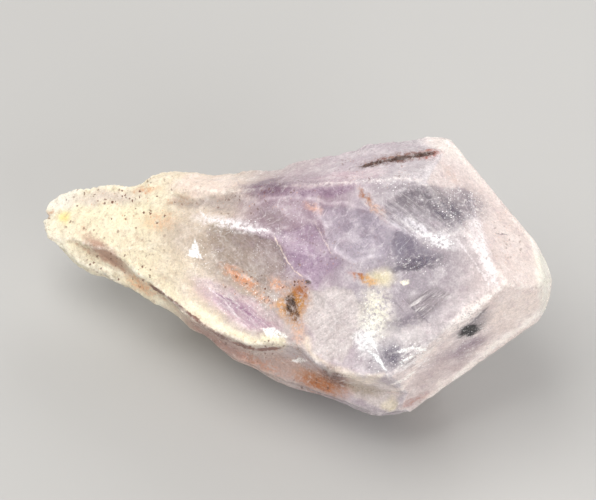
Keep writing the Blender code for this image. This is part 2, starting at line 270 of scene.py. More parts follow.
class Shade(Tree):
    """One material and the nodes that it is made of."""

    def __init__(self, name):
        self.material = bpy.data.materials.new(name)
        self.material.use_nodes = True
        super().__init__(self.material.node_tree)

    def fade(self, value, zero_at, one_at, strength=1.0):
        """A smooth step from 0 to a strength between two values."""
        return self.node(
            "ShaderNodeMapRange",
            {"interpolation_type": "SMOOTHSTEP"},
            {"Value": value, "From Min": zero_at, "From Max": one_at, "To Max": strength},
        )

    def mixed(self, under, over, share):
        """One colour laid over another."""
        return self.node(
            "ShaderNodeMix", {"data_type": "RGBA"}, {0: share, 6: under, 7: over}, output=2
        )

    def between(self, under, over, share):
        """One number laid over another."""
        return self.node("ShaderNodeMix", {}, {0: share, 2: under, 3: over})

    def grain(self, coords, size, detail=2.0, rough=0.5, output="Fac"):
        """Noise with lumps of a given size."""
        return self.node(
            "ShaderNodeTexNoise",
            {},
            {"Vector": coords, "Scale": 1 / size, "Detail": detail, "Roughness": rough},
            output=output,
        )

    def wander(self, coords, size, amount, detail=2.0):
        """A random push, the same for points that are near each other."""
        push = self.vector("SUBTRACT", self.grain(coords, size, detail, 0.6, "Color"), (0.5, 0.5, 0.5))
        return self.vector("MULTIPLY", push, (amount * 2,) * 3)

    def pushed(self, coords, push):
        """Flat places moved by a push, and still flat."""
        return self.vector("MULTIPLY_ADD", push, (1.0, 1.0, 0.0), coords)

    def dots(self, coords, spacing, radius, fewest):
        """Scattered round dots: a cell has one where its random number is above fewest."""
        cells = {"Vector": coords, "Scale": 1 / spacing}
        distance = self.node("ShaderNodeTexVoronoi", {}, cells, output="Distance")
        number = self.node("ShaderNodeTexVoronoi", {}, cells, output="Color")
        number = self.node("ShaderNodeSeparateColor", {}, {"Color": number}, output="Red")
        size = self.fade(number, fewest, 1.0) * radius + radius * 0.6
        return self.fade(distance / size, 1.2, 0.7) * self.fade(number, fewest, fewest + 0.02)

    def attribute(self, name):
        return self.node("ShaderNodeAttribute", {"attribute_name": name}, output="Fac")

    def reach(self, coords, place, half, turn):
        """Distance from a patch's centre, as a share of its half-sizes."""
        # A Mapping node would do the same, but its result is of another kind of vector. The renderer then
        # holds the results of all patches at once, which is more than one shader may hold.
        turned = self.node(
            "ShaderNodeVectorRotate",
            {"rotation_type": "Z_AXIS"},
            {"Vector": coords, "Center": tuple(place), "Angle": -turn},
        )
        shares = [1 / size for size in half]
        offset = [-share * along for share, along in zip(shares, place)]
        return self.vector("LENGTH", self.vector("MULTIPLY_ADD", turned, shares, offset), output="Value")

    def blot(self, coords, place, half, turn, soft, strength):
        """A rounded patch with a soft rim."""
        reach = self.reach(coords, place, half, turn)
        return self.fade(reach, 1 + soft, max(0.0, 1 - soft), strength)

    def shard(self, coords, corners, rim, strength):
        """A patch with straight sides between corners that run clockwise."""
        reach = None
        for start, end in zip(corners, corners[1:] + corners[:1]):
            side = (end - start).normalized()
            inward = Vector((side.y, -side.x, 0.0))
            distance = self.vector("DOT_PRODUCT", coords, tuple(inward), output="Value") - inward.dot(start)
            reach = distance if reach is None else reach.low(distance)
        return self.fade(reach, -rim, rim, strength)

    def line(self, coords, points, width, strength):
        """A fine line through points, made of long thin patches that overlap at their ends."""
        reach = None
        for start, end in zip(points, points[1:]):
            run = end - start
            half = (run.length / 2 + width, width, 1.0)
            part = self.reach(coords, (start + end) / 2, half, math.atan2(run.y, run.x))
            reach = part if reach is None else reach.low(part)
        return self.fade(reach, 1.25, 0.6, strength)

    def finish(self, surface, volume=None):
        links = {"Surface": surface}
        if volume:
            links["Volume"] = volume
        self.node("ShaderNodeOutputMaterial", {}, links)
        return self.material


# Colour along the crystal: x on the front side in mm, colour and how milky
ALONG = [
    (-30.0, (244, 236, 212), 0.98), (-17.0, (240, 227, 198), 0.95), (-10.0, (230, 213, 192), 0.88),
    (-4.0, (212, 196, 186), 0.80), (5.0, (206, 190, 198), 0.72), (15.0, (214, 204, 209), 0.66),
    (23.0, (230, 214, 210), 0.76), (30.0, (250, 243, 230), 0.94),
]
# Soft patches of the skin, in the order in which they are laid over each other: centre, half-sizes and
# turn in the picture (pixels and degrees), colour, how milky, how soft the rim is, and how strong
PATCHES = {
    "root_low": ((100, 245), (52, 26), -28, (238, 224, 194), 0.97, 0.45, 0.7),
    "root_yellow": ((112, 206), (58, 22), -4, (243, 233, 200), 0.97, 0.6, 0.8),
    "root_end_white": ((62, 196), (22, 16), 30, (246, 241, 224), 1.0, 0.5, 0.9),
    "root_spot": ((66, 214), (5, 8), 0, (250, 222, 120), 0.97, 0.7, 0.7),
    "root_mauve": ((106, 198), (34, 7), 4, (216, 200, 194), 0.95, 0.8, 0.7),
    "grey_left": ((186, 236), (24, 20), -20, (208, 190, 174), 0.82, 0.7, 0.7),
    "grey_beige": ((240, 258), (40, 30), -30, (184, 164, 148), 0.68, 0.5, 0.85),
    "top_cream": ((206, 185), (36, 11), 2, (234, 215, 202), 0.95, 0.35, 0.9),
    "top_shadow": ((214, 203), (38, 6), 2, (196, 180, 172), 0.74, 0.9, 0.85),
    "violet_field": ((298, 226), (56, 50), -30, (172, 142, 162), 0.62, 0.5, 0.85),
    "violet_lens": ((268, 188), (22, 9), 2, (118, 84, 108), 0.74, 0.4, 0.95),
    "violet_band": ((322, 191), (40, 6), 6, (160, 130, 154), 0.72, 0.45, 0.95),
    "violet_low": ((312, 264), (22, 18), -20, (180, 148, 178), 0.64, 0.7, 0.75),
    "magenta": ((236, 306), (42, 12), -30, (232, 202, 204), 0.84, 0.5, 0.85),
    "magenta_core": ((247, 315), (30, 5), -30, (202, 158, 186), 0.80, 0.6, 0.8),
    "magenta_streak": ((226, 296), (26, 2.5), -32, (206, 166, 190), 0.80, 0.7, 0.7),
    "lilac_right": ((402, 262), (62, 54), 0, (186, 176, 188), 0.50, 0.6, 0.65),
    "lilac_field": ((378, 234), (34, 22), -20, (172, 158, 178), 0.48, 0.7, 0.75),
    # painted shade: the clear quartz here looks dark
    "blue_painted_shade": ((402, 244), (12, 10), -40, (138, 128, 150), 0.52, 0.8, 0.85),
    "low_violet": ((461, 351), (26, 9), 32, (160, 138, 154), 0.60, 0.7, 0.85),
    "low_right": ((440, 375), (34, 14), 34, (208, 188, 186), 0.76, 0.6, 0.8),
    "low_body": ((400, 340), (30, 20), 20, (240, 232, 230), 0.76, 0.7, 0.7),
    "low_blue": ((388, 356), (16, 12), 30, (186, 182, 196), 0.50, 0.7, 0.7),
    "yellow_corner": ((389, 405), (6, 5), 0, (244, 230, 180), 0.9, 0.7, 0.85),
    "violet_corner": ((352, 176), (26, 6), 8, (216, 186, 194), 0.8, 0.7, 0.7),
    "upper_corner": ((447, 147), (22, 9), -30, (238, 226, 218), 0.9, 0.6, 0.8),
    "amber_glow": ((380, 278), (14, 8), -4, (232, 220, 172), 0.88, 0.7, 0.8),
    "tip_worn": ((545, 278), (9, 36), 4, (255, 250, 234), 0.98, 0.5, 0.9),
    "tip_low": ((514, 308), (34, 12), 30, (240, 224, 216), 0.84, 0.6, 0.8),
}
# Soft bands along edges: points in the picture, half width in pixels, colour, how milky, how soft and how
# strong
BANDS = {
    "cream_ridge": (
        ((75, 232), (100, 245), (130, 264), (160, 283), (182, 301), (205, 317), (232, 332), (256, 341),
         (282, 342)),
        5.5, (250, 238, 208), 1.0, 0.75, 0.9,
    ),
    "pale_ridge": (((304, 340), (318, 356), (338, 371), (362, 381), (383, 377)), 3.2,
                   (244, 228, 208), 0.97, 0.9, 0.75),
    "edge_above": (((250, 203), (290, 199), (345, 204), (372, 214), (400, 232)), 1.6,
                   (222, 208, 216), 0.9, 0.9, 0.5),
    "lower_veil": (((436, 345), (412, 372), (394, 396)), 3.0, (244, 228, 220), 0.9, 0.9, 0.7),
    "upper_rim": (((452, 142), (540, 250)), 4.0, (250, 238, 230), 0.97, 0.9, 0.55),
    "lower_rim": (((428, 400), (544, 315)), 3.5, (255, 244, 236), 0.95, 0.9, 0.8),
    "low_lip": (((52, 232), (75, 262), (110, 282), (160, 305)), 3.5, (255, 246, 222), 0.97, 0.9, 0.85),
}
# Clouds, painted shade and painted highlights, laid out as the patches are, with ragged rims and broken up
# like the rust
CRUMBLED = {
    # Painted shade where the clear quartz looks dark
    "grey_upper": ((420, 199), (30, 12), -14, (118, 108, 120), 0.45, 0.9, 0.8),
    "blue_shade_up": ((450, 214), (15, 9), -30, (98, 92, 116), 0.42, 0.9, 1.0),
    "blue_shade_right": ((470, 204), (16, 11), -40, (146, 136, 150), 0.50, 0.9, 0.7),
    "blue_shade_left": ((404, 246), (14, 9), -36, (122, 112, 136), 0.50, 0.9, 0.9),
    "blue_shade": ((418, 262), (22, 6), 6, (84, 76, 98), 0.50, 0.9, 1.0),
    "low_dark": ((392, 356), (9, 8), 30, (112, 106, 128), 0.45, 0.9, 0.9),
    "low_shade": ((410, 318), (22, 6), 20, (148, 138, 154), 0.50, 0.9, 0.8),
    # Milky clouds
    "cloud": ((376, 310), (13, 20), 8, (240, 236, 216), 0.90, 0.9, 0.9),
    "cloud_low": ((372, 326), (9, 11), 20, (250, 248, 236), 0.92, 0.9, 0.9),
    # Painted highlights: glow and glare
    "low_glow": ((366, 342), (9, 11), 20, (248, 250, 250), 0.92, 0.9, 0.8),
    "glare": ((441, 241), (12, 5), -22, (255, 255, 255), 0.95, 0.9, 1.0),
    "glare_tail": ((420, 229), (18, 3.4), -34, (244, 242, 246), 0.9, 0.9, 0.7),
    "ridge_glow": ((236, 225), (36, 5), -12, (244, 238, 242), 0.95, 0.9, 0.9),
    "arm_glow": ((482, 256), (30, 4), -66, (252, 246, 246), 0.92, 0.9, 0.6),
    "magenta_grey": ((226, 301), (30, 7), -32, (186, 156, 174), 0.80, 0.9, 0.8),
    "magenta_pale": ((214, 288), (20, 5), -30, (238, 222, 216), 0.90, 0.9, 0.8),
    "apex_shade": ((272, 217), (18, 9), -20, (158, 138, 142), 0.70, 0.9, 0.8),
    # Painted shade on the side face under the ridge, then its paler lower edge
    "side_shade": ((246, 357), (44, 8), -28, (150, 116, 108), 0.95, 0.9, 0.6),
    "side_pale": ((262, 372), (40, 4), -27, (238, 212, 200), 0.95, 0.9, 0.7),
}
# Rust, with ragged and speckled rims
RUST = {
    "orange_streak": ((241, 278), (19, 5.5), -34, (210, 146, 106), 0.95, 0.8, 1.0),
    "orange_dab": ((277, 285), (8, 6), -30, (220, 164, 130), 0.95, 0.9, 0.9),
    "orange_trail": ((262, 298), (15, 3.4), -30, (222, 170, 140), 0.95, 0.9, 0.85),
    "pit_foot": ((298, 330), (6, 13), 5, (222, 178, 148), 0.95, 0.9, 0.8),
    "pit_halo": ((296, 303), (12, 19), -12, (184, 128, 60), 0.97, 0.6, 1.0),
    "pit_top": ((301, 291), (6, 6), 0, (158, 92, 50), 0.97, 0.7, 0.9),
    "pit_core": ((290, 305), (5.5, 10.5), -8, (50, 36, 34), 1.0, 0.5, 1.0),
    "pit_heel": ((296, 316), (3.4, 5), 0, (84, 54, 38), 1.0, 0.6, 1.0),
    "pit_left": ((281, 307), (5, 8), 0, (212, 156, 96), 0.95, 0.8, 0.9),
    "orange_wedge": ((366, 198), (12, 3.2), -55, (150, 98, 70), 0.97, 0.8, 1.0),
    "orange_wedge_low": ((378, 210), (10, 4), -40, (210, 172, 152), 0.9, 0.9, 0.85),
    "amber_wedge": ((360, 277), (10, 3.4), -22, (160, 98, 54), 0.97, 0.6, 1.0),
    "amber_tail": ((371, 281), (8, 4), -10, (214, 164, 96), 0.95, 0.8, 0.8),
    "rust": ((320, 384), (24, 10), -14, (168, 102, 56), 0.97, 0.7, 1.0),
    "rust_deep": ((334, 376), (14, 7), -34, (90, 50, 34), 0.97, 0.7, 1.0),
    "groove_orange": ((142, 286), (15, 5), -30, (236, 182, 136), 0.97, 0.8, 0.85),
    "crack_red": ((428, 154), (12, 4.6), 10, (156, 68, 40), 0.97, 0.6, 1.0),
    "crack_brown": ((398, 158), (30, 4.4), 9, (110, 58, 38), 0.97, 0.6, 1.0),
    "root_join": ((146, 190), (11, 3), 6, (206, 146, 100), 0.97, 0.9, 0.7),
    "root_rust": ((158, 222), (14, 8), 0, (216, 160, 112), 0.97, 0.9, 0.55),
    "root_notch": ((50, 213), (4, 3), 0, (190, 130, 90), 0.97, 0.8, 0.7),
    "side_rust": ((262, 366), (20, 5), -26, (206, 140, 106), 0.95, 0.9, 0.6),
    "low_edge_red": ((415, 400), (14, 3), 24, (166, 112, 100), 0.95, 0.8, 0.7),
    "field_dab": ((314, 208), (8, 4), -20, (214, 164, 140), 0.9, 0.9, 0.8),
    "upper_dabs": ((452, 176), (12, 4), -50, (206, 176, 164), 0.9, 0.9, 0.6),
}
# Painted shade and a painted highlight, rust, and the dark inclusion with its clear window, with ragged
# rims
STAINS_AND_SHADE = {
    "shadow_wedge": ((361, 388), (20, 6), -14, (184, 168, 152), 0.88, 0.5, 0.85),
    # The groove's brown, painted darker as shade in the recess
    "groove_brown_shade": ((104, 252), (28, 7), -38, (186, 150, 130), 0.97, 0.5, 0.95),
    # The side face under the ridge: its pinkish brown, painted darker as shade
    "side_pink": ((228, 352), (36, 11), -34, (194, 150, 140), 0.94, 0.6, 0.9),
    "side_grey": ((290, 366), (30, 9), -24, (190, 160, 148), 0.92, 0.6, 0.85),
    "side_brown": ((204, 333), (24, 6), -38, (176, 138, 124), 0.95, 0.6, 0.9),
    "rust_under": ((322, 383), (24, 9), -22, (194, 148, 116), 0.95, 0.8, 0.8),
    # painted shade where the clear quartz looks dark
    "blue_shade_foot": ((412, 267), (18, 3.4), 6, (84, 76, 96), 0.6, 0.7, 0.8),
    # painted highlight: a bright spot of reflected light
    "highlight_dot": ((405, 282), (3.4, 2.4), 0, (255, 248, 226), 0.97, 0.6, 0.95),
    "inclusion_window": ((472, 324), (18, 9), 34, (196, 186, 190), 0.40, 0.7, 0.8),
    "inclusion": ((469, 330), (11, 5.5), 22, (22, 18, 23), 0.92, 0.45, 1.0),
}
# Flake scars: corners clockwise in the picture, colour, how milky, how strong, and how far the scar lies
# below the surface round it in mm
SCARS = {
    "grey_window": (((208, 224), (268, 234), (290, 266), (262, 284), (230, 276), (208, 252)),
                    (178, 159, 145), 0.60, 0.5, 0.36),
    # a real step, coloured as its painted shadow
    "top_ledge_shadow": (((168, 196), (206, 196), (246, 201), (240, 209), (204, 207), (172, 206)),
                  (192, 176, 168), 0.72, 0.4, 0.30),
    "violet_window": (((274, 235), (314, 222), (344, 262), (318, 290), (297, 272)),
                      (180, 150, 180), 0.60, 0.5, 0.26),
    "lilac_window": (((316, 204), (372, 213), (398, 231), (386, 254), (350, 262), (326, 240)),
                     (190, 176, 194), 0.52, 0.5, 0.22),
    "upper_window": (((374, 212), (420, 186), (470, 190), (478, 214), (440, 240), (402, 232)),
                     (172, 163, 174), 0.48, 0.45, 0.20),
    "pale_field": (((308, 288), (352, 290), (364, 306), (356, 342), (344, 368), (318, 352), (304, 322)),
                   (228, 217, 213), 0.72, 0.75, 0.28),
    "magenta_scar": (((206, 284), (244, 292), (284, 316), (286, 334), (262, 332), (222, 312)),
                     (218, 186, 198), 0.78, 0.35, 0.28),
    "low_field": (((362, 330), (400, 318), (432, 336), (412, 366), (384, 378), (352, 370)),
                  (216, 208, 212), 0.52, 0.4, 0.22),
    "bottom_corner": (((344, 374), (392, 384), (402, 396), (388, 412), (352, 400)),
                      (226, 212, 202), 0.88, 0.6, 0.26),
}
# Flashes and windows with straight sides: corners clockwise, how soft the rim is in pixels, colour, how
# milky and how strong. The white flashes are painted highlights, light thrown back by cracks inside.
FLASHES = {
    "blue_triangle": (((397, 232), (440, 255), (428, 266), (396, 264)), 3.0, (150, 142, 164), 0.45, 0.45),
    # painted highlights: light thrown back by cracks inside
    "flash_upper": (((362, 332), (371, 335), (378, 353)), 0.9, (252, 254, 254), 0.98, 1.0),
    "flash_lower": (((368, 350), (379, 356), (388, 374)), 0.9, (252, 254, 255), 0.98, 1.0),
    "flash_beside": (((350, 336), (360, 330), (362, 350)), 1.6, (246, 244, 244), 0.9, 0.6),
    "stripe_window": (((405, 300), (436, 286), (452, 295), (422, 322)), 2.4, (176, 166, 172), 0.45, 0.6),
    "inner_wedge": (((498, 291), (470, 322), (436, 345), (464, 306)), 2.0, (250, 236, 230), 0.85, 0.75),
    # Pale veils of the phantom's arms, with a painted highlight along their step edges
    "upper_arm": (((464, 212), (480, 219), (500, 290), (486, 276)), 2.8, (248, 240, 242), 0.85, 0.5),
    "upper_arm_core": (((473, 217), (479, 221), (498, 289), (490, 272)), 1.6, (255, 252, 252), 0.9, 0.4),
    "lower_arm_core": (((497, 292), (470, 317), (452, 327), (472, 309)), 1.0, (255, 247, 242), 0.95, 0.8),
    # painted highlights: light thrown back by cracks inside
    "white_triangle": (((195, 238), (202, 259), (187, 256)), 1.2, (255, 255, 255), 1.0, 1.0),
    "white_flash": (((261, 329), (274, 327), (288, 337), (268, 337)), 1.3, (255, 254, 250), 1.0, 1.0),
    "side_flash": (((291, 361), (300, 357), (308, 361), (298, 363)), 1.0, (255, 250, 246), 1.0, 0.95),
}
# Fine lines: points in the picture, half width in pixels, colour, how milky, how strong. Pale lines are
# broken up, and dark lines run on. The sparkling ridge and the gleams are painted highlights, and the line
# under the ridge is a painted shadow.
PALE_LINES = {
    # painted highlight: small glints along the ridge
    "sparkling_ridge": (((200, 211), (207, 219), (221, 222), (239, 227), (255, 230), (269, 230)), 1.4,
                        (250, 244, 246), 0.95, 0.6),
    "fracture": (((274, 235), (284, 256), (293, 270), (303, 276)), 0.9, (244, 226, 210), 0.95, 0.7),
    "violet_edge": (((315, 222), (322, 236), (332, 254)), 0.9, (238, 222, 218), 0.9, 0.5),
    "upper_veil": (((455, 236), (474, 262), (492, 288)), 1.2, (246, 240, 242), 0.9, 0.5),
    # painted highlights
    "low_gleam": (((398, 352), (412, 348), (426, 350)), 1.6, (255, 255, 252), 0.95, 0.9),
    "low_gleam_two": (((400, 362), (414, 356)), 1.4, (255, 255, 252), 0.95, 0.9),
    "corner_gleam": (((392, 384), (404, 380), (414, 372)), 1.6, (255, 250, 244), 0.95, 0.8),
    "magenta_gleam": (((206, 286), (224, 300), (238, 318)), 1.2, (250, 236, 240), 0.9, 0.7),
}
DARK_LINES = {
    "crack": (((361, 167), (385, 161), (412, 156), (434, 153)), 2.4, (70, 36, 24), 1.0, 1.0),
    "inclusion_tail": (((470, 325), (488, 307)), 1.3, (84, 76, 84), 0.9, 0.65),
    "low_mark": (((407, 302), (428, 322)), 1.0, (104, 96, 110), 0.9, 0.7),
    "cloud_mark": (((392, 298), (404, 312)), 1.2, (130, 122, 130), 0.9, 0.6),
    "top_line": (((236, 178), (246, 200)), 0.9, (190, 172, 172), 0.85, 0.5),
    "tip_line": (((496, 233), (508, 235)), 0.7, (120, 106, 110), 0.9, 0.7),
    # painted shadow along the ridge's lower edge
    "under_ridge_shadow": (
        ((150, 285), (166, 296), (184, 310), (206, 327), (231, 342), (257, 350), (281, 348)),
        2.0, (126, 82, 70), 0.97, 0.95,
    ),
    "pit_dot": (((307, 282), (309, 282)), 2.2, (92, 74, 68), 1.0, 0.95),
    "magenta_shade": (((214, 292), (236, 305), (262, 322)), 1.2, (166, 124, 152), 0.85, 0.7),
}
# Growth lines: the attribute that holds their windows, turn in degrees, length against width and how rare
GROWTH_LINES = (("rising", 38, 12.0, 0.0), ("falling", -34, 12.0, 0.0), ("sparkle", 24, 3.0, 0.05))
# Their windows, where they rise or fall to the right: corners clockwise, and how strong
RISING_LINES = [
    (((403, 301), (436, 284), (454, 294), (422, 324)), 1.0),
    (((497, 291), (478, 322), (436, 350), (400, 392), (430, 340), (462, 306)), 0.6),
    (((395, 345), (430, 338), (424, 372), (398, 374)), 0.8),
    (((308, 288), (364, 290), (360, 366), (310, 350)), 0.3),
]
FALLING_LINES = [
    (((345, 203), (410, 190), (470, 232), (440, 248), (398, 231)), 0.45),
    (((212, 286), (250, 294), (288, 330), (262, 334), (222, 312)), 0.45),
    (((206, 222), (268, 234), (290, 266), (262, 284), (226, 278)), 0.15),
]
# Where bright points gather: centre and half-sizes in the picture, and how strong
SPARKLE = [
    ((462, 206), (24, 20), 1.0), ((412, 356), (22, 14), 1.0), ((374, 352), (16, 22), 0.9),
    ((438, 240), (24, 10), 0.8), ((236, 225), (40, 8), 0.9), ((416, 262), (26, 10), 0.8),
    ((376, 312), (16, 20), 0.7), ((470, 340), (22, 20), 0.6), ((400, 180), (60, 12), 0.5),
    ((250, 300), (40, 20), 0.5), ((330, 330), (30, 36), 0.25), ((280, 240), (44, 40), 0.3),
    ((206, 262), (20, 26), 0.6),
]
# Where dark specks gather, listed in the same way
SPECKS = [
    ((140, 206), (34, 20), 1.0), ((150, 188), (16, 6), 1.0), ((96, 210), (40, 22), 0.45),
    ((120, 270), (40, 14), 0.6), ((298, 278), (16, 14), 0.9), ((258, 286), (34, 14), 0.9),
    ((320, 384), (30, 12), 1.0), ((280, 196), (30, 16), 0.5), ((240, 205), (40, 10), 0.5),
    ((250, 350), (60, 14), 0.7), ((335, 250), (30, 20), 0.35), ((510, 240), (24, 30), 0.35),
    ((372, 170), (40, 14), 0.5),
]
# Where edges carry no frost, in the pit and the crack: centre, half-sizes and turn
UNFROSTED = [((291, 303), (16, 20), 0), ((398, 160), (44, 7), 9)]


def painted(shade, ragged, lines, speckled, flaky):
    """Each stain, painted shade and highlight, flash and fine line: its colour, how milky it is and its
    mask.
    """
    for table, texture in ((STAINS_AND_SHADE, None), (CRUMBLED, speckled), (RUST, speckled)):
        for pixel, half, turn, colour, milk, soft, strength in table.values():
            sizes = (half[0] * PIXEL, half[1] * PIXEL, 1.0)
            blot = shade.blot(ragged, in_picture(pixel), sizes, math.radians(turn), soft, strength)
            yield colour, milk, blot * texture if texture else blot
    for corners, rim, colour, milk, strength in FLASHES.values():
        corners = [in_picture(pixel) for pixel in corners]
        yield colour, milk, shade.shard(lines, corners, rim * PIXEL, strength) * flaky
    for table, texture in ((PALE_LINES, flaky), (DARK_LINES, None)):
        for pixels, width, colour, milk, strength in table.values():
            points = [in_picture(pixel) for pixel in pixels]
            line = shade.line(lines, points, width * PIXEL, strength)
            yield colour, milk, line * texture if texture else line


def growth_lines(shade, front, turn, length, rare):
    """Fine straight lines that run across the front side at a turn in degrees: a light and a dark mask."""
    along = shade.node("ShaderNodeMapping", {"vector_type": "TEXTURE"}, {
        "Vector": front, "Rotation": (0.15, 0.1, math.radians(turn)), "Scale": (length, 1.0, 3.0),
    })
    lines = shade.grain(along, GROWTH_LINE, 3.0, 0.7)
    return shade.fade(lines, 0.50 + rare, 0.62 + rare), shade.fade(lines, 0.46 - rare, 0.34 - rare)


def quartz_base(shade, front, root, body, gritty):
    """Soft colour and milkiness of the quartz, with clouds, dusk and stained creases."""
    colour = shade.node("ShaderNodeAttribute", {"attribute_name": "tint"}, output="Vector")
    milk = shade.attribute("milk")
    clouds = shade.fade(shade.grain(front, CLOUD, 6.0, 0.7), 0.42, 0.66)
    colour = shade.mixed(colour, srgb(*CLOUD_WHITE), clouds * (0.24 - root * 0.10))
    milk = shade.between(milk, 0.95, clouds * 0.4)
    dusk = shade.fade(shade.grain(front, DUSK, 5.0, 0.7), 0.50, 0.30)
    colour = shade.mixed(colour, srgb(*DUSK_VIOLET), dusk * body * 0.30)
    fleecy = shade.fade(shade.grain(front, FLEECE, 5.0, 0.75), 0.52, 0.36)
    colour = shade.mixed(colour, srgb(*ROOT_BROWN), fleecy * root * 0.45)
    creased = shade.attribute("creased") * shade.fade(gritty, 0.35, 0.6)
    colour = shade.mixed(colour, srgb(*CREASE_BROWN), creased * (0.25 + root * 0.45))
    return colour, milk


def marked(shade, base, front, ragged, lines, gritty, fine):
    """The stains, painted shade and highlights, flashes and lines of the side that the photograph shows,
    laid over the base.
    """
    base_colour, base_milk = colour, milk = base
    seen = shade.attribute("seen")
    speckled = shade.fade(gritty, 0.32, 0.56)
    flaky = shade.fade(fine * 0.5 + gritty * 0.5, 0.38, 0.50)
    for over, milkiness, mask in painted(shade, ragged, lines, speckled, flaky):
        colour = shade.mixed(colour, srgb(*over), mask)
        milk = shade.between(milk, milkiness, mask)
    for name, turn, length, rare in GROWTH_LINES:
        light, dark = growth_lines(shade, front, turn, length, rare)
        window = shade.attribute(name)
        colour = shade.mixed(colour, srgb(*LINE_LIGHT), light * window * 0.75)
        colour = shade.mixed(colour, srgb(*LINE_DARK), dark * window * 0.55)
    return shade.mixed(base_colour, colour, seen), shade.between(base_milk, milk, seen)


def wispy(shade, colour, milk, front, body):
    """White wisps inside the clear quartz, which cross at two turns."""
    bent = shade.vector("ADD", front, shade.wander(front, 3.0 * MM, 1.6 * MM))
    for turn, size, share in ((52, 0.6 * MM, 0.34), (-62, 0.5 * MM, 0.28)):
        streaked = shade.node("ShaderNodeMapping", {"vector_type": "TEXTURE"}, {
            "Vector": bent, "Rotation": (0.2, 0.1, math.radians(turn)), "Scale": (4.0, 0.6, 1.5),
        })
        wisps = shade.fade(shade.grain(streaked, size, 4.0, 0.65), 0.56, 0.74) * body
        colour = shade.mixed(colour, srgb(*WISP_WHITE), wisps * share)
        milk = shade.between(milk, 0.95, wisps * share)
    return colour, milk


def dotted(shade, colour, milk, front, lines, root, body):
    """Dark specks, orange flecks and white glints."""
    specked = shade.attribute("specked")
    dots = shade.dots(lines, SPECK_SPACING, 0.22, 0.62)
    colour = shade.mixed(colour, srgb(*SPECK_BROWN), dots * (specked * 1.2 + root * 0.35).low(1.0))
    flecks = shade.dots(front, FLECK_SPACING, 0.22, 0.74)
    colour = shade.mixed(colour, srgb(*FLECK_ORANGE), flecks * (specked * 0.7 + 0.06))
    sparkle = shade.attribute("sparkle") * 1.4 + 0.06
    glints = shade.dots(front, GLINT_SPACING, 0.19, 0.60) * sparkle.low(1.0) * body
    return shade.mixed(colour, srgb(*WHITE), glints), shade.between(milk, 1.0, glints)


def skin_material():
    """Milky and clear quartz mixed by where they are on the crystal."""
    shade = Shade("amethyst")
    place = shade.node("ShaderNodeTexCoord", output="Object")
    front = shade.node(
        "ShaderNodeMapping", {"vector_type": "POINT"}, {"Vector": place, "Rotation": TO_FRONT.to_euler()}
    )
    flat = shade.vector("MULTIPLY", front, (1.0, 1.0, 0.0))
    lines = shade.pushed(flat, shade.wander(front, 0.5 * MM, 0.30 * MM, 3.0))
    ragged = shade.pushed(flat, shade.wander(front, 0.8 * MM, 0.75 * MM, 4.0))
    root = shade.attribute("root")
    body = 1 - root
    broken = shade.attribute("broken")
    frosted = shade.attribute("frosted")
    gritty = shade.grain(front, GRIT, 5.0, 0.7)
    fine = shade.grain(front, FINE_GRIT, 3.0, 0.65)

    base = quartz_base(shade, front, root, body, gritty)
    colour, milk = marked(shade, base, front, ragged, lines, gritty, fine)
    rim = frosted * shade.fade(gritty, 0.35, 0.65)
    colour = shade.mixed(colour, srgb(*FROST_WHITE), rim * 0.45)
    milk = shade.between(milk, 0.98, rim * 0.4)
    colour, milk = wispy(shade, colour, milk, front, body)
    colour, milk = dotted(shade, colour, milk, front, lines, root, body)
    tone = 0.36 + fine * 0.60 + gritty * 0.66
    tones = shade.node("ShaderNodeCombineXYZ", {}, {0: tone, 1: tone, 2: tone})
    colour = shade.vector("MULTIPLY", colour, tones)
    # The whitest places are a little milkier. The milkiness then also needs the colour, so that each mask
    # is used for both at once and isn't held until all of them are worked out.
    white = shade.vector("DOT_PRODUCT", colour, (0.3, 0.4, 0.3), output="Value")
    milk = shade.between(milk, 1.0, shade.fade(white, 0.5, 1.0, 0.3))

    roughness = 0.06 + broken * 0.14 + fine * 0.14 + root * 0.25 + frosted * 0.2
    height = gritty * 0.7 + fine * 0.3
    bump = shade.node("ShaderNodeBump", {}, {
        "Strength": 0.9, "Distance": 0.12 * MM, "Height": height * (0.25 + broken * 0.75 + root * 0.8),
    }, output="Normal")
    milky = shade.node("ShaderNodeBsdfPrincipled", {"subsurface_method": "RANDOM_WALK"}, {
        "Base Color": colour, "Roughness": roughness, "Normal": bump, "IOR": QUARTZ_IOR,
        "Subsurface Weight": 0.22, "Subsurface Radius": (1.0, 0.85, 0.9), "Subsurface Scale": 0.6 * MM,
    })
    clear = shade.node("ShaderNodeBsdfPrincipled", {}, {
        "Base Color": shade.mixed(colour, srgb(*WHITE), 0.8), "Roughness": roughness * 0.5, "Normal": bump,
        "IOR": QUARTZ_IOR, "Transmission Weight": 1.0,
    })
    surface = shade.node("ShaderNodeMixShader", {}, {0: milk, 1: clear, 2: milky})
    volume = shade.node(
        "ShaderNodeVolumeAbsorption", {}, {"Color": srgb(*VIOLET_GLASS), "Density": ABSORPTION}
    )
    return shade.finish(surface, volume)


def veil_material():
    """Sheets of tiny bubbles, milk-white with lacy gaps."""
    shade = Shade("white_veil")
    place = shade.node("ShaderNodeTexCoord", output="Object")
    lace = shade.fade(shade.grain(place, 0.7 * MM, 5.0, 0.7), 0.44, 0.60)
    bubbles = shade.dots(place, 0.26 * MM, 0.30, 0.35)
    tone = shade.mixed(srgb(250, 246, 250), srgb(222, 208, 230), shade.grain(place, 2.4 * MM))
    surface = shade.node("ShaderNodeBsdfPrincipled", {}, {
        "Base Color": tone, "Roughness": 0.30 + lace * 0.25, "Alpha": (lace * 0.75).high(bubbles * 0.9),
    })
    return shade.finish(surface)


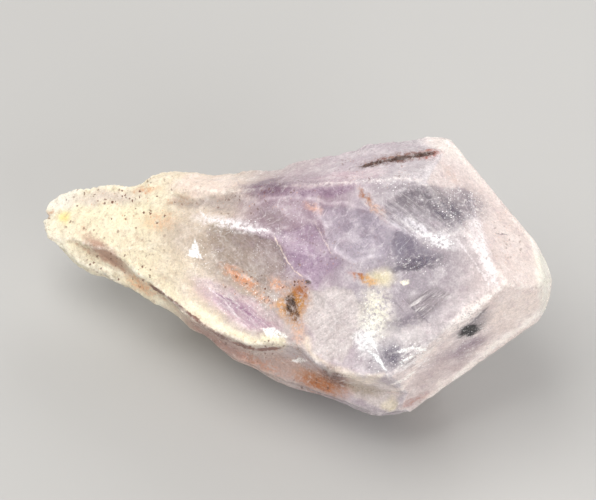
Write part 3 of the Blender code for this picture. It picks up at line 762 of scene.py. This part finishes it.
def flake_material():
    """Bright little mirrors of healed cracks, some of them painted dark violet-grey as shade."""
    shade = Shade("bright_flake")
    place = shade.node("ShaderNodeTexCoord", output="Object")
    # painted shade: part of the flakes are dark violet-grey
    shaded = shade.fade(shade.grain(place, 0.8 * MM), 0.48, 0.54)
    tone = shade.mixed(srgb(*WHITE), srgb(84, 74, 104), shaded)
    surface = shade.node("ShaderNodeBsdfPrincipled", {}, {
        "Base Color": tone, "Roughness": 0.12 + shade.grain(place, 0.3 * MM) * 0.2,
    })
    return shade.finish(surface)


def inclusion_material():
    """A dark grain shut in the quartz."""
    shade = Shade("dark_grain")
    place = shade.node("ShaderNodeTexCoord", output="Object")
    pattern = shade.grain(place, 0.3 * MM, 4.0, 0.7)
    tone = shade.mixed(srgb(22, 18, 24), srgb(92, 82, 88), shade.fade(pattern, 0.45, 0.75))
    bump = shade.node("ShaderNodeBump", {}, {
        "Strength": 0.8, "Distance": 0.1 * MM, "Height": pattern,
    }, output="Normal")
    surface = shade.node("ShaderNodeBsdfPrincipled", {}, {
        "Base Color": tone, "Roughness": 0.2 + pattern * 0.4, "Normal": bump,
    })
    return shade.finish(surface)


# Skin
def new_piece(name, bm, material):
    mesh = bpy.data.meshes.new(name)
    bm.to_mesh(mesh)
    bm.free()
    mesh.materials.append(material)
    piece = bpy.data.objects.new(name, mesh)
    bpy.context.scene.collection.objects.link(piece)
    return piece


def plain_mesh(piece):
    """Makes the piece's live modifiers part of its mesh."""
    graph = bpy.context.evaluated_depsgraph_get()
    mesh = bpy.data.meshes.new_from_object(piece.evaluated_get(graph))
    piece.modifiers.clear()
    piece.data = mesh


def numbers(rows, key, width, kind=np.float32):
    """One property of a mesh's points or edges, with a row of numbers for each."""
    values = np.empty(len(rows) * width, kind)
    rows.foreach_get(key, values)
    return values.reshape(-1, width)


def spread(values, pairs, times):
    """Averages values with those of their neighbours, again and again."""
    count = np.bincount(pairs.ravel(), minlength=len(values)).clip(1)
    if values.ndim > 1:
        count = count[:, None]
    for _ in range(times):
        total = np.zeros_like(values)
        np.add.at(total, pairs[:, 0], values[pairs[:, 1]])
        np.add.at(total, pairs[:, 1], values[pairs[:, 0]])
        values = (values + total / count) / 2
    return values


def step(values, low, high):
    """A smooth step from 0 to 1 between two values."""
    share = np.clip((values - low) / (high - low), 0, 1)
    return share * share * (3 - 2 * share)


def solid_copy(name, material):
    """A piece with the solid's faces, their corners joined."""
    bm = bmesh.new()
    bm.from_mesh(solid.data)
    bmesh.ops.remove_doubles(bm, verts=bm.verts, dist=MERGE)
    return new_piece(name, bm, material)


def fine_skin():
    """The crystal's surface in small even faces, each point on the solid."""
    skin = solid_copy("crystal_skin", skin_material())
    remesh = skin.modifiers.new("remesh", "REMESH")
    remesh.mode = "VOXEL"
    remesh.voxel_size = VOXEL
    plain_mesh(skin)
    places = numbers(skin.data.vertices, "co", 3).astype(float)
    for index, place in enumerate(places):
        places[index] = solid_tree.find_nearest(Vector(place))[0]
    set_places(skin.data, places)
    return skin


def set_places(mesh, places):
    mesh.vertices.foreach_set("co", places.astype(np.float32).ravel())
    mesh.update()


def scoop(places, centres, outward, radii, depths):
    """Presses balls into the surface: each leaves a shallow scoop with a crisp rim."""
    balls = centres + outward * (radii - depths)[:, None]
    for ball, radius, depth in zip(balls, radii, depths):
        near = np.flatnonzero(np.abs(places - ball).max(axis=1) < radius)
        local = places[near] - ball
        distance = np.linalg.norm(local, axis=1)
        # What lies deeper in the ball than its scoop belongs to another side of the crystal
        pressed = (distance < radius) & (distance > radius - DEEPEST * depth)
        local[pressed] *= (radius / distance[pressed])[:, None]
        places[near] = local + ball
    return places


def strewn_scoops(draw, places, outward, weight, count, radii, depths):
    """Scoops of random sizes in mm at random points, most of them where the weight is high."""
    chosen = draw.choice(len(places), count, p=weight / weight.sum())
    radii = draw.uniform(*radii, count) * MM
    depths = draw.uniform(*depths, count) * MM
    return scoop(places, places[chosen], outward[chosen], radii, depths)


def picture_places(places):
    """Points laid flat in the plane of the front side, pushed about so that what lies there is uneven."""
    flat = np.stack([places @ np.array(RIGHT), places @ np.array(UP)], axis=1)
    pushes = np.array([
        noise.noise_vector(Vector(p / (2.4 * MM))) * 0.7 + noise.noise_vector(Vector(p / (0.6 * MM))) * 0.2
        for p in places
    ])
    return flat + pushes[:, :2] * MM


def polygon_reach(flat, pixels):
    """How far inside a polygon with clockwise corners each flat point is."""
    corners = [in_picture(pixel) for pixel in pixels]
    reach = np.full(len(flat), np.inf)
    for start, end in zip(corners, corners[1:] + corners[:1]):
        side = (end - start).normalized()
        reach = np.minimum(reach, (flat - np.array(start.xy)) @ np.array((side.y, -side.x)))
    return reach


def patch_share(flat, pixel, half, turn, soft):
    """How much of a soft patch each flat point has."""
    local = flat - np.array(in_picture(pixel).xy)
    cos, sin = math.cos(math.radians(turn)), math.sin(math.radians(turn))
    across = (local @ np.array((cos, sin))) / (half[0] * PIXEL)
    upward = (local @ np.array((-sin, cos))) / (half[1] * PIXEL)
    return step(-np.hypot(across, upward), -1 - soft, soft - 1)


def band_share(flat, pixels, width, soft):
    """How much of a soft band along a line each flat point has."""
    points = [np.array(in_picture(pixel).xy) for pixel in pixels]
    reach = np.full(len(flat), np.inf)
    for start, end in zip(points, points[1:]):
        run = end - start
        along = ((flat - start) @ run / (run @ run)).clip(0, 1)
        reach = np.minimum(reach, np.linalg.norm(flat - start - along[:, None] * run, axis=1))
    return step(-reach / (width * PIXEL), -1 - soft, soft - 1)


def window_share(flat, windows):
    """How much of the named windows each flat point has."""
    share = np.zeros(len(flat))
    for corners, strength in windows:
        share = np.maximum(share, strength * step(polygon_reach(flat, corners), -0.1 * MM, 0.5 * MM))
    return share


def spread_share(flat, gatherings):
    """How much of the named gatherings each flat point has."""
    share = np.zeros(len(flat))
    for pixel, half, strength in gatherings:
        share = np.maximum(share, strength * patch_share(flat, pixel, half, 0, 0.7))
    return share


def soft_colours(places, flat, seen, tip):
    """The broad colours of the quartz, some of them painted shade, and how milky it is, worked out point by
    point.
    """
    along = (places @ np.array(RIGHT)) / MM
    stops = [x for x, _, _ in ALONG]
    colours = np.array([srgb(*colour)[:3] for _, colour, _ in ALONG])
    tint = np.stack([np.interp(along, stops, colours[:, channel]) for channel in range(3)], axis=1)
    milk = np.interp(along, stops, [milkiness for _, _, milkiness in ALONG])

    def lay(colour, milkiness, share):
        nonlocal tint, milk
        tint = tint + (np.array(srgb(*colour)[:3]) - tint) * share[:, None]
        milk = milk + (milkiness - milk) * share

    lay(TIP_PINK, TIP_MILK, tip * 0.75)
    for pixel, half, turn, colour, milkiness, soft, strength in PATCHES.values():
        lay(colour, milkiness, patch_share(flat, pixel, half, turn, soft) * strength * seen)
    for corners, colour, milkiness, strength, _ in SCARS.values():
        share = step(polygon_reach(flat, corners), -0.1 * MM, 0.25 * MM)
        lay(colour, milkiness, share * strength * seen)
    for pixels, width, colour, milkiness, soft, strength in BANDS.values():
        lay(colour, milkiness, band_share(flat, pixels, width, soft) * strength * seen)
    return tint, milk


def convexity(places, outward, pairs):
    """How strongly the surface bends outwards at each point, per metre."""
    span = places[pairs[:, 0]] - places[pairs[:, 1]]
    bend = ((outward[pairs[:, 0]] - outward[pairs[:, 1]]) * span).sum(1) / (span**2).sum(1).clip(1e-12)
    convex = np.zeros(len(places))
    count = np.bincount(pairs.ravel(), minlength=len(places)).clip(1)
    np.add.at(convex, pairs[:, 0], bend)
    np.add.at(convex, pairs[:, 1], bend)
    return spread(convex / count, pairs, times=2)


def scarred(places, inward, facing):
    """Lowers the flake scars, steeply at their rims and gently towards their middles."""
    flat = picture_places(places)
    for corners, _, _, _, drop in SCARS.values():
        reach = polygon_reach(flat, corners)
        lowered = 0.5 * step(reach, 0, SCAR_SLOPE) + 0.5 * step(reach, 0, SCAR_RIM)
        places = places + inward * (lowered * facing * drop * MM)[:, None]
    return places


def grainy(places, smooth, broken, root):
    """Lumps and grains of broken quartz, highest at the root."""
    lumps = np.array([noise.noise(Vector(p / LUMP)) for p in places])
    grains = np.array([noise.noise(Vector(p / GRAIN)) for p in places])
    push = broken * (0.035 * lumps + 0.02 * grains) + root * (0.09 * lumps + 0.05 * grains) - 0.01
    return places + smooth * (push * MM)[:, None]


def keep_marks(mesh, marks, tint):
    """Attributes that the material reads."""
    for name, values in marks.items():
        layer = mesh.attributes.new(name, "FLOAT", "POINT")
        layer.data.foreach_set("value", values.astype(np.float32))
    layer = mesh.attributes.new("tint", "FLOAT_VECTOR", "POINT")
    layer.data.foreach_set("vector", tint.astype(np.float32).ravel())


def worked_skin():
    """Adds scoops, scars, nicks and grains, and keeps where they are as attributes."""
    skin = fine_skin()
    mesh = skin.data
    draw = np.random.default_rng(SEED)
    pairs = numbers(mesh.edges, "vertices", 2, np.int32)
    places = numbers(mesh.vertices, "co", 3).astype(float)
    outward = numbers(mesh.vertex_normals, "vector", 3).astype(float)
    smooth = spread(outward, pairs, times=14)
    broken = spread(step(1 - np.linalg.norm(smooth, axis=1), *BROKEN_BEND), pairs, times=4)
    convex = convexity(places, outward, pairs)
    edge = step(convex * MM, *EDGE_BEND)
    front = outward @ np.array(OUT)

    weight = broken.clip(0, 1) ** 2 + 0.01
    places = strewn_scoops(draw, places, outward, weight, SCOOPS, SCOOP_RADII, SCOOP_DEPTHS)
    places = scarred(places, -smooth, step(front, *SCAR_FACING))
    weight = edge**2 + 1e-6
    places = strewn_scoops(draw, places, smooth, weight, NICKS, NICK_RADII, NICK_DEPTHS)
    root = step(-places[:, 0], ROOT_FROM, ROOT_FULL)
    places = grainy(places, smooth, broken, root)
    low, high = (np.array(corner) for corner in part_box(NODE))
    places = np.clip(places, low + INSIDE, high - INSIDE)
    set_places(mesh, places)

    flat = picture_places(places)
    seen = step(front, *SEEN_FACING)
    for pixel, half, turn in UNFROSTED:
        edge = edge * (1 - patch_share(flat, pixel, half, turn, 0.5))
    tint, milk = soft_colours(places, flat, seen, step(outward @ AXIS, *TIP_FACING))
    marks = {
        "rising": window_share(flat, RISING_LINES) * seen,
        "falling": window_share(flat, FALLING_LINES) * seen,
        "sparkle": spread_share(flat, SPARKLE) * seen,
        "specked": spread_share(flat, SPECKS) * seen,
        "creased": step(-convex * MM, *CREASE_BEND),
        "broken": broken, "frosted": edge, "seen": seen, "root": root, "milk": milk,
    }
    keep_marks(mesh, marks, tint)
    mesh.shade_smooth()
    return skin


# Inside
# Veils: four corners, each as its pixel and its depth in mm along the bent ray
VEILS = {
    "upper_tip_veil": (((462, 206), 1.6), ((486, 224), 1.6), ((496, 284), 2.2), ((476, 262), 2.4)),
    "lower_tip_veil": (((494, 298), 2.0), ((470, 312), 2.4), ((400, 380), 1.6), ((428, 356), 1.8)),
    "middle_veil": (((300, 250), 2.4), ((378, 236), 3.2), ((402, 300), 3.0), ((322, 322), 2.4)),
    "cloud_veil": (((352, 290), 1.4), ((392, 292), 1.6), ((388, 336), 1.6), ((356, 332), 1.4)),
    "violet_veil": (((262, 204), 2.0), ((346, 206), 2.4), ((338, 268), 3.0), ((282, 258), 2.4)),
    "low_veil": (((350, 336), 1.4), ((410, 330), 1.8), ((404, 366), 1.6), ((362, 362), 1.4)),
}
VEIL_STEPS = (30, 14)
VEIL_BUCKLE = 0.45 * MM
INCLUSION = ((469, 329), 1.6, (1.25, 0.75, 0.6), 22)  # pixel, depth and radii in mm, turn in degrees


def join_inside(piece):
    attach(piece, BODY)


def veil(name, corners, material):
    """A thin closed sheet between four places inside the crystal, a little buckled."""
    near, far, far_low, near_low = (inside(pixel, depth * MM) for pixel, depth in corners)
    across, down = VEIL_STEPS
    normal = (far - near).cross(near_low - near).normalized()
    bm = bmesh.new()
    rows = []
    for i in range(across + 1):
        top = near.lerp(far, i / across)
        bottom = near_low.lerp(far_low, i / across)
        rows.append([bm.verts.new(top.lerp(bottom, j / down)) for j in range(down + 1)])
    for row, following in zip(rows, rows[1:]):
        for j in range(down):
            bm.faces.new((row[j], following[j], following[j + 1], row[j + 1]))
    for vert in bm.verts:
        vert.co += normal * noise.noise(vert.co / (2.0 * MM)) * VEIL_BUCKLE
    piece = new_piece(name, bm, material)
    thick = piece.modifiers.new("thickness", "SOLIDIFY")
    thick.thickness = VEIL_THICKNESS
    plain_mesh(piece)
    join_inside(piece)


def inclusion():
    """The dark grain under the lower tip face."""
    pixel, depth, radii, turn = INCLUSION
    bm = bmesh.new()
    bmesh.ops.create_icosphere(bm, subdivisions=4, radius=1.0)
    for vert in bm.verts:
        vert.co *= 1 + 0.35 * noise.noise(vert.co * 1.6) + 0.15 * noise.noise(vert.co * 5.0)
    size = Matrix.Diagonal((*(radius * MM for radius in radii), 1.0))
    upright = TO_FRONT.transposed().to_4x4()
    spin = Matrix.Rotation(math.radians(turn), 4, "Z")
    move = Matrix.Translation(inside(pixel, depth * MM)) @ upright @ spin @ size
    bmesh.ops.transform(bm, matrix=move, verts=bm.verts)
    join_inside(new_piece("dark_inclusion", bm, inclusion_material()))


def flake_tree(material):
    """Geometry nodes that strew small six-cornered plates under a surface."""
    group = bpy.data.node_groups.new("bright_flakes", "GeometryNodeTree")
    face = group.interface
    face.new_socket("Geometry", in_out="INPUT", socket_type="NodeSocketGeometry")
    for name, value in FLAKES.items():
        kind = "NodeSocketInt" if isinstance(value, int) else "NodeSocketFloat"
        face.new_socket(name, in_out="INPUT", socket_type=kind)
    face.new_socket("Geometry", in_out="OUTPUT", socket_type="NodeSocketGeometry")
    tree = Tree(group)
    entry = group.nodes.new("NodeGroupInput")
    given = {socket.name: Flow(tree, socket) for socket in entry.outputs if socket.name}

    def chance(low, high, seed):
        values = {2: low, 3: high, "Seed": seed}
        return tree.node("FunctionNodeRandomValue", {"data_type": "FLOAT"}, values, 1)

    scatter = group.nodes.new("GeometryNodeDistributePointsOnFaces")
    group.links.new(given["Geometry"].socket, scatter.inputs["Mesh"])
    group.links.new(given["Density"].socket, scatter.inputs["Density"])
    group.links.new(given["Seed"].socket, scatter.inputs["Seed"])
    strewn = {name: Flow(tree, scatter.outputs[name]) for name in ("Points", "Normal")}
    depth = chance(given["Least depth"], given["Most depth"], 1)
    inward = tree.node(
        "ShaderNodeVectorMath", {"operation": "SCALE"}, {0: strewn["Normal"], 3: depth * -1.0}
    )
    points = tree.node("GeometryNodeSetPosition", {}, {"Geometry": strewn["Points"], "Offset": inward})
    spots = tree.node("GeometryNodeInputPosition")
    across = tree.node("ShaderNodeSeparateXYZ", {}, {0: spots}, "X")
    rooted = across.maths("LESS_THAN", across, given["Start"])
    points = tree.node(
        "GeometryNodeDeleteGeometry", {"domain": "POINT"}, {"Geometry": points, "Selection": rooted}
    )
    plate = tree.node("GeometryNodeMeshCylinder", {"fill_type": "NGON"}, {
        "Vertices": FLAKE_CORNERS, "Radius": given["Flake size"], "Depth": given["Flake thickness"],
    })
    turn = tree.node("FunctionNodeRandomValue", {"data_type": "FLOAT_VECTOR"}, {
        0: (0.0, 0.0, 0.0), 1: (math.tau,) * 3, "Seed": 2,
    })
    plates = tree.node("GeometryNodeInstanceOnPoints", {}, {
        "Points": points, "Instance": plate, "Rotation": turn, "Scale": chance(0.25, 1.0, 3) ** 2.0,
    })
    plates = tree.node("GeometryNodeRealizeInstances", {}, {"Geometry": plates})
    plates = tree.node("GeometryNodeSetMaterial", {}, {"Geometry": plates, "Material": material})
    tree.node("NodeGroupOutput", {}, {"Geometry": plates})
    return group


def flakes():
    """Bright flakes strewn through the clear end of the crystal."""
    material = flake_material()
    piece = solid_copy("bright_flakes", material)
    strew = piece.modifiers.new("strew", "NODES")
    strew.node_group = flake_tree(material)
    for item in strew.node_group.interface.items_tree:
        if item.in_out == "INPUT" and item.name in FLAKES:
            strew[item.identifier] = FLAKES[item.name]
    plain_mesh(piece)
    bm = bmesh.new()
    bm.from_mesh(piece.data)
    bm.verts.ensure_lookup_table()
    each = FLAKE_CORNERS * 2
    outside = []
    for first in range(0, len(bm.verts), each):
        corners = bm.verts[first:first + each]
        middle = sum((vert.co for vert in corners), Vector()) / each
        near, normal, _, distance = solid_tree.find_nearest(middle)
        if (middle - near).dot(normal) > 0 or distance < CLEAR_OF_SKIN:
            outside.extend(corners)
    bmesh.ops.delete(bm, geom=outside, context="VERTS")
    bm.to_mesh(piece.data)
    bm.free()
    join_inside(piece)


# Studio
FLOOR_HALF = 1.2  # m
FLOOR_TONES = ((176, 175, 173), (180, 179, 177))
ROOM_COLOUR = (244, 243, 242)
ROOM_STRENGTH = 0.62
WARM = (1.0, 0.985, 0.96)
PLAIN = (1.0, 1.0, 1.0)
# Place, size in m, power in W and colour
LIGHTS = {
    "window": (AIM + UP * 0.22 + OUT * 0.30 - RIGHT * 0.12, 0.30, 1.2, WARM),
    "fill": (AIM + RIGHT * 0.20 + OUT * 0.30 - UP * 0.14, 0.24, 0.68, PLAIN),
    "back": (Vector((0.05, 0.30, 0.22)), 0.20, 0.40, PLAIN),
}


def floor():
    bm = bmesh.new()
    bmesh.ops.create_grid(bm, x_segments=1, y_segments=1, size=FLOOR_HALF)
    shade = Shade("pale_floor")
    place = shade.node("ShaderNodeTexCoord", output="Object")
    dark, light = (srgb(*tone) for tone in FLOOR_TONES)
    tone = shade.mixed(dark, light, shade.grain(place, 0.05))
    surface = shade.node("ShaderNodeBsdfPrincipled", {}, {"Base Color": tone, "Roughness": 0.6})
    piece = new_piece("floor", bm, shade.finish(surface))


def area_light(name, place, size, power, colour):
    data = bpy.data.lights.new(name, "AREA")
    data.energy = power
    data.size = size
    data.color = colour
    light = bpy.data.objects.new(name, data)
    light.location = place
    light.rotation_euler = (AIM - light.location).to_track_quat("-Z", "Y").to_euler()
    bpy.context.scene.collection.objects.link(light)


def studio():
    scene = bpy.context.scene
    world = bpy.data.worlds.new("soft_room")
    world.use_nodes = True
    background = world.node_tree.nodes["Background"]
    background.inputs["Color"].default_value = srgb(*ROOM_COLOUR)
    background.inputs["Strength"].default_value = ROOM_STRENGTH
    scene.world = world
    for name, (place, size, power, colour) in LIGHTS.items():
        area_light(name, place, size, power, colour)
    scene.view_settings.view_transform = "Standard"


def camera():
    data = bpy.data.cameras.new("camera")
    data.sensor_width = SENSOR_WIDTH
    data.lens = SENSOR_WIDTH * CAMERA_DISTANCE / (PICTURE[0] * PIXEL)
    data.clip_start = 0.01
    data.clip_end = 10.0
    piece = bpy.data.objects.new("camera", data)
    turn = Matrix((RIGHT, UP, OUT)).transposed().to_4x4()
    piece.matrix_world = Matrix.Translation(CAMERA_PLACE) @ turn
    bpy.context.scene.collection.objects.link(piece)
    bpy.context.scene.camera = piece


camera()
studio()
floor()
skin = worked_skin()
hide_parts(NODE)
join_inside(skin)
white_veil = veil_material()
for name, corners in VEILS.items():
    veil(name, corners, white_veil)
inclusion()
flakes()
